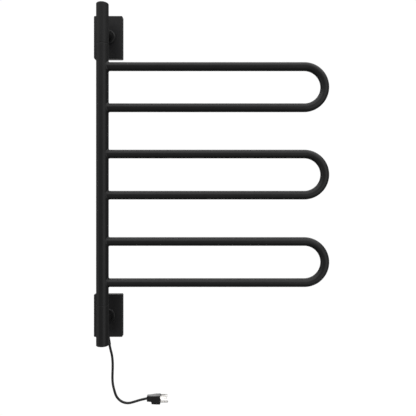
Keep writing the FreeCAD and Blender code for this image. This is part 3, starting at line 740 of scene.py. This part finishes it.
def relief_outline(sizes):
    """The strain relief's outline: (distance below the cover, radius), with its ribs and grooves."""
    flange = sizes.relief_flange
    outline = [(RELIEF_GAP, flange), (FLANGE_PLATE, flange)]
    outline.append((FLANGE_PLATE + FLANGE_EDGE, flange - FLANGE_EDGE))
    pitch = (sizes.relief_length - FIRST_RIB) / sizes.relief_ribs
    for i in range(sizes.relief_ribs):
        near = FIRST_RIB + i * pitch
        crest = sizes.relief_root + (sizes.relief_tip - sizes.relief_root) * (i + 0.5) / sizes.relief_ribs
        outline += [(near + along * pitch, crest - deep * sizes.relief_groove) for along, deep in RIB]
    outline.append((sizes.relief_length, sizes.relief_tip - sizes.relief_groove))
    bore = sizes.diameter / 2 + CORD_GRIP
    return outline + [(sizes.relief_length, bore), (RELIEF_GAP, bore)]


class RACK_OT_cord(Operator):
    """Makes the mains cord and its strain relief"""

    bl_idname = "rack.make_cord"
    bl_label = "Cord"

    def execute(self, context):
        sizes = settings().cord
        looks = settings().finishes
        sheath = moulded_plastic("cord_sheath_black", looks.sheath, 0.40, 0.000008, 0.3)
        cord = in_scene("mains_cord", route_curve("mains_cord", sizes.diameter / 2))
        cord.data.materials.append(sheath)
        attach(cord, "wall_frame")
        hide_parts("cord")
        points = route_points()
        start = cord_exit()
        inside = next(i for i, p in enumerate(points) if p.z <= start.z)
        hidden = sum((b - a).length for a, b in zip(points[: inside + 1], points[1 : inside + 1]))
        bm = bmesh.new()
        rings = [
            ring(bm, radius, 48, *along_route(points, hidden + below))
            for below, radius in relief_outline(sizes)
        ]
        bridged(bm, rings + rings[:1])
        relief = made_piece(
            bm, "strain_relief", "wall_frame", sheath, "cord_sheath", "cord_strain_relief", sharp=40.0
        )
        plug = make_plug()
        return {"FINISHED"}


def plug_ring(bm, x, half_width, top, bottom, middle_y, corner):
    """A ring of edges shaped as a rectangle with rounded corners."""
    middle = Vector((x, middle_y, (top + bottom) / 2))
    edges = ring(bm, 1.0, 64, middle, X_WAY)
    half = Vector((half_width - corner, (top - bottom) / 2 - corner))
    for vert in ring_verts(edges):
        spoke = Vector((vert.co.y - middle.y, vert.co.z - middle.z))
        straight = max(abs(spoke.x), abs(spoke.y))
        square = spoke / straight
        spot = Vector((square.x * (half.x + corner), square.y * (half.y + corner)))
        inner = Vector((max(-half.x, min(half.x, spot.x)), max(-half.y, min(half.y, spot.y))))
        beyond = spot - inner
        spot = inner + beyond.normalized() * corner if beyond.length > 0 else spot
        vert.co = (x, middle.y + spot.x, middle.z + spot.y)
    return edges


def make_plug():
    """The moulded plug: ribbed grips at its tail, a step below, and shoulders towards the prong face."""
    sizes = settings().cord
    low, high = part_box("plug_body")
    middle_y = (low.y + high.y) / 2
    half = (high.y - low.y) / 2
    length = high.x - low.x
    shallow = high.z - sizes.plug_above_cord - sizes.plug_tail_below
    tail = sizes.plug_tail_width / 2
    waist = sizes.plug_waist_width / 2
    step = sizes.plug_step
    edge = sizes.plug_edge
    # each station is (from the tail's end, half width, top, bottom)
    stations = [
        (0.0, tail - edge, high.z - 2 * edge, shallow + edge),
        (0.3 * edge, tail - 0.3 * edge, high.z - 1.3 * edge, shallow + 0.3 * edge),
        (edge, tail, high.z - edge, shallow),
    ]
    pitch = (step - 2 * edge) / sizes.grip_ribs
    for rib in range(sizes.grip_ribs):
        near = edge + rib * pitch
        wide = tail + (waist - tail) * near / step
        stations += [
            (near + along * pitch, wide - deep * sizes.grip_depth, high.z - 0.9 * edge, shallow)
            for along, deep in GRIP
        ]
    stations += [
        (step - 0.3 * edge, waist, high.z - 0.8 * edge, shallow),
        (step, waist + FLARE, high.z - 0.75 * edge, shallow - 0.3 * edge),
        (step + 0.7 * edge, waist + 3 * FLARE, high.z - 0.7 * edge, low.z + 0.5 * edge),
        (step + 1.6 * edge, waist + 5 * FLARE, high.z - 0.6 * edge, low.z),
        (step + CHEEK, half - 3 * FLARE, high.z - 0.1 * edge, low.z),
        (length - edge, half, high.z, low.z),
        (length - 0.3 * edge, half - 0.3 * edge, high.z - 0.3 * edge, low.z + 0.3 * edge),
        (length, half - edge, high.z - edge, low.z + edge),
    ]
    bm = bmesh.new()
    rings = [
        plug_ring(bm, low.x + x, wide, top, bottom, middle_y, edge if 0 < x < length else 0.4 * edge)
        for x, wide, top, bottom in stations
    ]
    bridged(bm, rings)
    bmesh.ops.contextual_create(bm, geom=rings[0])
    bmesh.ops.contextual_create(bm, geom=rings[-1])
    ends = [f for f in bm.faces if len(f.verts) > 4]
    bmesh.ops.inset_individual(bm, faces=ends, thickness=0.4 * edge, use_even_offset=True)
    finish = moulded_plastic("plug_plastic_black", settings().finishes.sheath, 0.30, 0.00001, 0.4)
    return made_piece(bm, "plug_moulding", "wall_frame", finish, "plug_plastic", "plug_body", sharp=50.0)


# ---- Post ----
SCREW_TURN = 30.0  # degrees from the back of the post to each spindle screw
MOUTH_DEPTH = 0.0007  # of the countersink
PROUD = 0.0001  # by which the countersink's cutter clears the surface
CAP_EASE = 0.0003  # radius on the cap's bevel


def post_tube(node, name, body, screws=False):
    """One length of the post as a tube with eased ends."""
    sizes = settings().post
    low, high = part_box(node)
    inner = POST_RADIUS - sizes.wall
    ease = sizes.eased_edge
    bm = turned(
        [(inner, low.z, 0.0), (POST_RADIUS, low.z, ease), (POST_RADIUS, high.z, ease), (inner, high.z, 0.0)],
        on_post(0), Z_WAY, sizes.sides,
    )
    coated(bm, name, body, node, cutter=spindle_screw_holes(node) if screws else None)


def spindle_screw_holes(node):
    """Cutters for the two spindle screws in a fixed length, with a small countersink."""
    sizes = settings().post
    low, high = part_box(node.split("_")[0] + "_spindle_screws")
    start = on_post((low.z + high.z) / 2)
    inside = POST_RADIUS - 2.5 * sizes.wall
    outside = POST_RADIUS + sizes.wall
    hole, mouth = sizes.screw_hole, sizes.screw_mouth
    cutter = bmesh.new()
    for turn in (-SCREW_TURN, SCREW_TURN):
        out = Matrix.Rotation(math.radians(turn), 3, "Z") @ Y_WAY
        tool = turned(
            [
                (0.0, inside, 0), (hole, inside, 0), (hole, POST_RADIUS - MOUTH_DEPTH, 0),
                (mouth, POST_RADIUS + PROUD, 0), (mouth, outside, 0), (0.0, outside, 0),
            ],
            start, out, 32, closed=False,
        )
        bmesh.ops.recalc_face_normals(tool, faces=tool.faces)
        holder = bpy.data.meshes.new("tool")
        tool.to_mesh(holder)
        tool.free()
        cutter.from_mesh(holder)
        bpy.data.meshes.remove(holder)
    return cutter


class RACK_OT_post(Operator):
    """Makes the post's two fixed lengths and its turning length"""

    bl_idname = "rack.make_post"
    bl_label = "Post"

    def execute(self, context):
        post_tube("lower_post_section", "lower_post", "wall_frame", screws=True)
        post_tube("upper_post_section", "upper_post", "wall_frame", screws=True)
        post_tube("swivel_post", "turning_post", "swing")
        return {"FINISHED"}


class RACK_OT_caps(Operator):
    """Makes the caps in the post's ends"""

    bl_idname = "rack.make_caps"
    bl_label = "End caps"

    def execute(self, context):
        sizes = settings().post
        bevel = sizes.cap_bevel
        spigot = POST_RADIUS - sizes.wall - SLIP
        for end, outwards in (("lower", -1), ("upper", 1)):
            node = end + "_end_cap"
            low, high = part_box(node)
            tip, inner_end = (high.z, low.z) if outwards > 0 else (low.z, high.z)
            seat = tip - outwards * sizes.cap_plate
            bm = turned(
                [
                    (0.0, tip, 0), (POST_RADIUS - bevel, tip, CAP_EASE),
                    (POST_RADIUS, tip - outwards * bevel, CAP_EASE), (POST_RADIUS, seat, CAP_EASE * 2 / 3),
                    (spigot, seat, 0), (spigot, inner_end, 0), (spigot - sizes.cap_wall, inner_end, 0),
                    (spigot - sizes.cap_wall, seat, 0), (0.0, seat, 0),
                ],
                on_post(0), Z_WAY, sizes.sides, closed=False,
            )
            coated(bm, end + "_cap", "wall_frame", node, sharp=50.0)
        return {"FINISHED"}


# ---- Bars ----
class RACK_OT_bars(Operator):
    """Makes the three U-bent bars"""

    bl_idname = "rack.make_bars"
    bl_label = "Bars"

    def execute(self, context):
        sizes = settings().bars
        for node in BARS:
            low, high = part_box(node)
            radius = (high.y - low.y) / 2
            bend = (high.z - low.z) / 2 - radius
            bend_x = high.x - radius - bend
            middle = Vector((bend_x, POST_AXIS.y, (low.z + high.z) / 2))
            bm = bmesh.new()
            step = X_WAY * (bend_x - POST_RADIUS) / sizes.leg_steps
            edges = ring(bm, radius, sizes.sides, Vector((POST_RADIUS, POST_AXIS.y, low.z + radius)), X_WAY)
            seats = ring_verts(edges)
            for _ in range(sizes.leg_steps):
                edges = pulled(bm, edges, step)
            turned_leg = bmesh.ops.spin(
                bm, geom=ring_verts(edges) + edges, cent=middle, axis=-Y_WAY, angle=math.pi,
                steps=sizes.bend_steps, use_merge=False, use_duplicate=False,
            )["geom_last"]
            edges = parts_of(turned_leg, bmesh.types.BMEdge)
            for _ in range(sizes.leg_steps):
                edges = pulled(bm, edges, -step)
            for vert in seats + ring_verts(edges):
                vert.co.x = POST_AXIS.x + post_surface(vert.co.y - POST_AXIS.y)
            coated(bm, node.replace("_bar", "_towel_bar"), "swing", node, wall=sizes.wall)
        return {"FINISHED"}


# each loop of a bead: share of the leg out from the tube, share along it, and ripple
BEAD = (
    (0.0, 0.0, 0.0), (1.0, 0.0, 0.0), (0.86, 0.26, 0.6),
    (0.62, 0.50, 1.0), (0.34, 0.78, 0.8), (0.0, 1.0, 0.0),
)
RIPPLE_LAG = 2.5  # radians by which the ripples trail along the bead
RIPPLE_LIFT = 0.7  # share of a ripple's height, out and along


def weld_bead(bm, radius, start, axis, side_axis):
    """A rippled bead round a tube that stands square on the post."""
    sizes = settings().bars
    leg = sizes.weld_leg
    ripples = round(2 * math.pi * (radius + leg / 2) / sizes.weld_pitch)
    loops = []
    for out, along, ripple in BEAD:
        edges = ring(bm, radius + WELD_GAP + out * leg, 6 * ripples, start, axis)
        for vert in ring_verts(edges):
            spoke = vert.co - start
            side = spoke.dot(side_axis)
            angle = math.atan2(side, spoke.dot(axis.cross(side_axis)))
            wave = 0.5 + 0.5 * math.cos(ripples * angle + RIPPLE_LAG * along)
            lift = RIPPLE_LIFT * sizes.weld_ripple * ripple * wave
            vert.co += spoke.normalized() * lift + axis * (post_surface(side) + along * leg + lift)
        loops.append(edges)
    bridged(bm, loops + loops[:1])


class RACK_OT_welds(Operator):
    """Makes the weld beads round the bars' legs and round the arms"""

    bl_idname = "rack.make_welds"
    bl_label = "Welds"

    def execute(self, context):
        bm = bmesh.new()
        for node in BARS:
            low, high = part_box(node)
            radius = (high.y - low.y) / 2
            for height in (low.z + radius, high.z - radius):
                weld_bead(bm, radius, on_post(height), X_WAY, Y_WAY)
        coated(bm, "bar_weld_beads", "swing", "bar_welds", sharp=60.0)
        bm = bmesh.new()
        for node in ("lower_collar", "upper_collar"):
            low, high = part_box(node)
            start = on_post((low.z + high.z) / 2)
            weld_bead(bm, settings().brackets.arm_radius, start, Y_WAY, X_WAY)
        coated(bm, "arm_weld_beads", "wall_frame", "arm_welds", sharp=60.0)
        return {"FINISHED"}


# ---- Brackets ----
ARM_SLACK = 0.0003  # radial, between an arm and its hole in the cover
BROAD = 100 * SUPPORT**2  # a cover's faces larger than this get a support loop


class RACK_OT_arms(Operator):
    """Makes the two stand-off arms and their collars"""

    bl_idname = "rack.make_arms"
    bl_label = "Arms and collars"

    def execute(self, context):
        sizes = settings().brackets
        inner, outer = sizes.arm_radius - sizes.arm_wall, sizes.arm_radius
        bore = outer + SLIP
        bevel, ease = sizes.collar_bevel, sizes.collar_edge
        for end in ("lower", "upper"):
            low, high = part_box(end + "_collar")
            centre = Vector((POST_AXIS.x, 0, (low.z + high.z) / 2))
            rim = (high.z - low.z) / 2
            collar = turned(
                [
                    (bore, high.y, 0), (rim, high.y, 0), (rim, low.y + bevel, ease),
                    (rim - bevel, low.y, ease), (bore, low.y, ease / 2),
                ],
                centre, Y_WAY, 96,
            )
            coated(collar, end + "_clamp_collar", "wall_frame", end + "_collar", sharp=50.0)
            low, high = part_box(end + "_arm")
            flange = (high.z - low.z) / 2
            front = high.y - sizes.flange_plate
            arm = turned(
                [
                    (inner, POST_AXIS.y, 0), (outer, POST_AXIS.y, 0), (outer, front, 0),
                    (flange, front, 0), (flange, high.y, 0), (inner, high.y, 0),
                ],
                centre, Y_WAY, 96,
            )
            for vert in arm.verts:
                if abs(vert.co.y - POST_AXIS.y) < SAME:
                    vert.co.y = POST_AXIS.y + post_surface(vert.co.x - POST_AXIS.x)
            coated(arm, end + "_stand_off", "wall_frame", end + "_arm", sharp=50.0)
        return {"FINISHED"}


def rod_tool(cutter, radius, middle, reach):
    """Adds a closed rod to a cutter, with half its length to each side of its middle."""
    turn = reach.to_track_quat("Z", "Y").to_matrix().to_4x4()
    bmesh.ops.create_cone(
        cutter, cap_ends=True, segments=48, radius1=radius, radius2=radius, depth=2 * reach.length,
        matrix=Matrix.Translation(middle) @ turn,
    )


def rounded(bm, edges, radius, segments):
    """Rounds edges."""
    bmesh.ops.bevel(
        bm, geom=edges, offset=radius, offset_type="OFFSET", segments=segments, profile=0.5,
        affect="EDGES", material=-1, clamp_overlap=True,
    )


class RACK_OT_covers(Operator):
    """Makes the two bracket covers as rounded shells with their holes"""

    bl_idname = "rack.make_covers"
    bl_label = "Bracket covers"

    def execute(self, context):
        sizes = settings().brackets
        for end in ("lower", "upper"):
            node = end + "_bracket_cover"
            low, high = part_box(node)
            bm = bmesh.new()
            made = bmesh.ops.create_cube(bm, size=1.0)
            bmesh.ops.scale(bm, verts=made["verts"], vec=high - low)
            bmesh.ops.translate(bm, verts=made["verts"], vec=(low + high) / 2)
            corners = [e for e in bm.edges if abs((e.verts[0].co - e.verts[1].co).y) > SAME]
            rounded(bm, corners, sizes.cover_corner, 8)
            front = [e for e in bm.edges if all(abs(v.co.y - low.y) < SAME for v in e.verts)]
            rounded(bm, front, sizes.cover_edge, 6)
            back = [f for f in bm.faces if all(abs(v.co.y - high.y) < SAME for v in f.verts)]
            bmesh.ops.delete(bm, geom=back, context="FACES")
            flat = [f for f in bm.faces if f.calc_area() > BROAD]
            bmesh.ops.inset_individual(bm, faces=flat, thickness=SUPPORT, use_even_offset=True)
            screw_low, screw_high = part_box(end + "_cover_screws")
            screw_r = (screw_high.y - screw_low.y) / 2
            screw_y = (screw_low.y + screw_high.y) / 2
            wall_z = low.z if end == "lower" else high.z
            through = 2 * sizes.cover_wall
            cutter = bmesh.new()
            for x in (screw_low.x + screw_r, screw_high.x - screw_r):
                rod_tool(cutter, sizes.screw_hole, Vector((x, screw_y, wall_z)), Z_WAY * through)
            middle = Vector((POST_AXIS.x, low.y, (low.z + high.z) / 2))
            rod_tool(cutter, sizes.arm_radius + ARM_SLACK, middle, Y_WAY * through)
            if end == "lower":
                neck = -(low.y + sizes.cover_wall) / 2 - NECK_MARGIN + SLIP
                rod_tool(cutter, neck, cord_exit(), Z_WAY * through)
            # flat=True gives the covers the paler coat, whose extra brightness is painted light.
            coated(bm, end + "_cover", "wall_frame", node, flat=True, cutter=cutter, wall=sizes.cover_wall)
        return {"FINISHED"}


# ---- Pieces that stay as the frame has them ----
def both(*names):
    """The lower and the upper node of each name."""
    return [end + name for name in names for end in ("lower_", "upper_")]


def kept_finishes():
    """Each finish, with the kept nodes that get it."""
    looks = settings().finishes
    zinc = metal("zinc_plate", looks.zinc, 0.42, (1.0, 1.0, 0.08))
    steel = metal("turned_steel_bare", looks.steel, 0.30, (0.2, 0.2, 1.0))
    screw = metal("blackened_screw", looks.screw, 0.45)
    blade = metal("plated_blade", looks.blade, 0.26, (0.06, 1.0, 1.0))
    brass = metal("brass_bare", looks.brass, 0.30)
    natural = moulded_plastic("natural_plastic", looks.plastic, 0.45)
    washer = moulded_plastic("washer_black", looks.washer, 0.55)
    sleeve = moulded_plastic("wire_sleeve_grey", looks.wire_sleeve, 0.50)
    cable = moulded_plastic("cable_sleeve_red", looks.cable_sleeve, 0.55)
    return (
        (zinc, both("wall_plate") + ["earth_screw", "thermal_cutout"]),
        (steel, both("spindle", "bearing_housing") + ["stop_pin"]),
        (screw, both("cover_screws", "spindle_screws")),
        (blade, ["plug_blades", "plug_earth_pin"]),
        (brass, ["terminal_screws", "crimp_connectors"]),
        (natural, both("bush") + ["terminal_block"]),
        (washer, both("thrust_washer")),
        (sleeve, ["cord_conductors", "supply_leads", "post_wiring"]),
        (cable, [bar.replace("_bar", "_heating_cable") for bar in BARS]),
    )


class RACK_OT_kept(Operator):
    """Gives their finishes to the pieces that stay as the frame has them"""

    bl_idname = "rack.finish_kept_pieces"
    bl_label = "Kept pieces"

    def execute(self, context):
        for finish, nodes in kept_finishes():
            for piece in (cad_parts[node] for node in nodes):
                if not piece.data.materials:
                    piece.data.materials.append(finish)
                for place in piece.material_slots:
                    place.material = finish
        return {"FINISHED"}


# name, what it points at and from where, width, height, the setting of its power, and what it lights
PLUG_LIGHTS = (
    (
        "prong_soft_box", "plug_blades", (-0.06, -0.50, -0.22), 0.35, 0.35, "prong_light",
        ("plug_blades", "plug_earth_pin"),
    ),
    (
        "plug_soft_box", "plug_body", (-0.05, 0.60, 0.25), 0.50, 0.36, "plug_light",
        ("plug_moulding",),
    ),
)


class RACK_OT_plug_lights(Operator):
    """Makes the small lights that pick out the plug's top and its prongs"""

    bl_idname = "rack.make_plug_lights"
    bl_label = "Plug lights"

    def execute(self, context):
        for name, node, offset, width, height, power, lit in PLUG_LIGHTS:
            low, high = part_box(node)
            middle = (low + high) / 2
            place = middle + Vector(offset)
            light = soft_box(name, place, middle, width, height, getattr(settings().stage, power))
            lit_only(light, [bpy.data.objects[piece] for piece in lit])
        return {"FINISHED"}


def lit_only(light, pieces):
    """Keeps a light to some pieces."""
    lit = bpy.data.collections.new("lit_by_" + light.name)
    for piece in pieces:
        lit.objects.link(piece)
    light.light_linking.receiver_collection = lit


STEPS = (
    RACK_OT_stage, RACK_OT_cord, RACK_OT_post, RACK_OT_caps, RACK_OT_bars, RACK_OT_welds,
    RACK_OT_arms, RACK_OT_covers, RACK_OT_kept, RACK_OT_plug_lights,
)


class RACK_PT_panel(Panel):
    """Lists the sizes, the finishes and the steps"""

    bl_idname = "RACK_PT_panel"
    bl_label = "Towel Warmer"
    bl_space_type = "VIEW_3D"
    bl_region_type = "UI"
    bl_category = "Towel Warmer"

    def draw(self, context):
        rack = context.scene.towel_rack
        for title, group in (
            ("Post", rack.post), ("Bars", rack.bars), ("Brackets", rack.brackets),
            ("Cord and plug", rack.cord), ("Finishes", rack.finishes), ("Stage", rack.stage),
        ):
            box = self.layout.box()
            box.label(text=title)
            for key in group.__annotations__:
                box.prop(group, key)
        for step in STEPS:
            self.layout.operator(step.bl_idname)


CLASSES = (
    PostSizes, BarSizes, BracketSizes, CordSizes, Finishes, StageSizes, RackSettings, *STEPS, RACK_PT_panel,
)


def register():
    """Adds the classes and the settings."""
    for cls in CLASSES:
        bpy.utils.register_class(cls)
    bpy.types.Scene.towel_rack = PointerProperty(type=RackSettings)


def unregister():
    """Takes them away again."""
    del bpy.types.Scene.towel_rack
    for cls in reversed(CLASSES):
        bpy.utils.unregister_class(cls)


def main():
    """Builds everything in order."""
    register()
    for step in STEPS:
        group, name = step.bl_idname.split(".")
        getattr(getattr(bpy.ops, group), name)()


if __name__ == "__main__":
    main()
